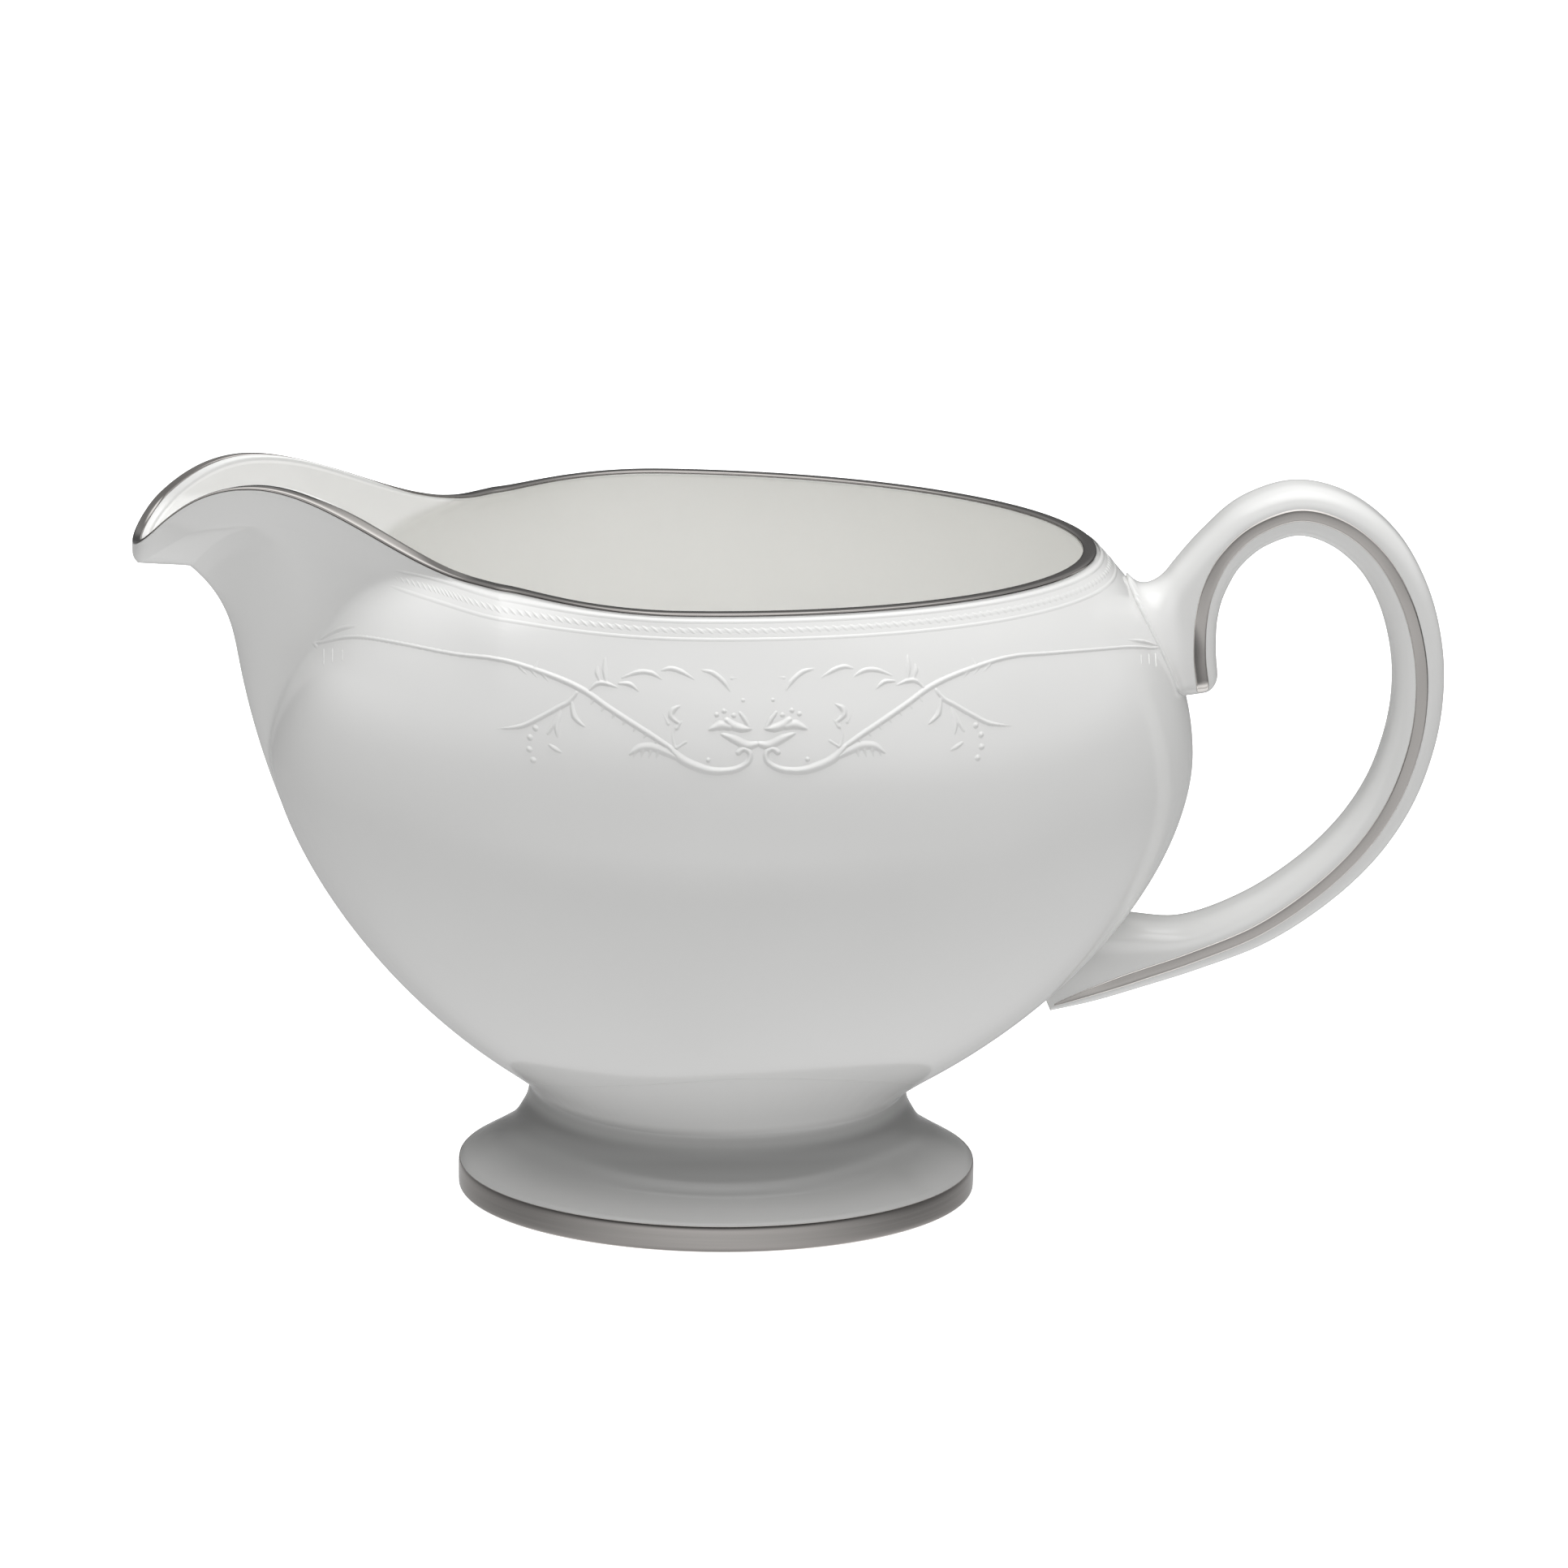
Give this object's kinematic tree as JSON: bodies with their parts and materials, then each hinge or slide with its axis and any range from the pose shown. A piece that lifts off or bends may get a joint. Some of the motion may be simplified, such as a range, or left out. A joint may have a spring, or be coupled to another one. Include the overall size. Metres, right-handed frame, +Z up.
{
  "type": "footed sauce boat",
  "caption": "Footed porcelain sauce boat with a long pouring spout, a loop handle, metallic rim, foot and handle lines and a moulded garland.",
  "frame": {"origin": "centre of the foot's flat ring, on the table", "axes": "+X towards the handle, -X towards the spout, -Y out of the front face, +Z up"},
  "size_m": [0.2012, 0.1086, 0.1142],
  "materials": {
    "glazed_porcelain": "glossy",
    "platinum": "polished"
  },
  "bodies": {
    "root": {"bowl": "glazed_porcelain", "foot": "glazed_porcelain", "handle": "glazed_porcelain", "rim_band": "platinum", "foot_band": "platinum", "handle_stripe_front": "platinum", "handle_stripe_back": "platinum", "collar_ridge_upper": "glazed_porcelain", "collar_beads": "glazed_porcelain", "collar_ridge_lower": "glazed_porcelain", "garland_front": "glazed_porcelain", "garland_back": "glazed_porcelain", "branches_front": "glazed_porcelain", "branches_back": "glazed_porcelain", "berries_front": "glazed_porcelain", "berries_back": "glazed_porcelain", "arches_front": "glazed_porcelain", "arches_back": "glazed_porcelain", "blossoms_front": "glazed_porcelain", "blossoms_back": "glazed_porcelain", "tassels_front": "glazed_porcelain", "tassels_back": "glazed_porcelain"}
  },
  "joints": []
}
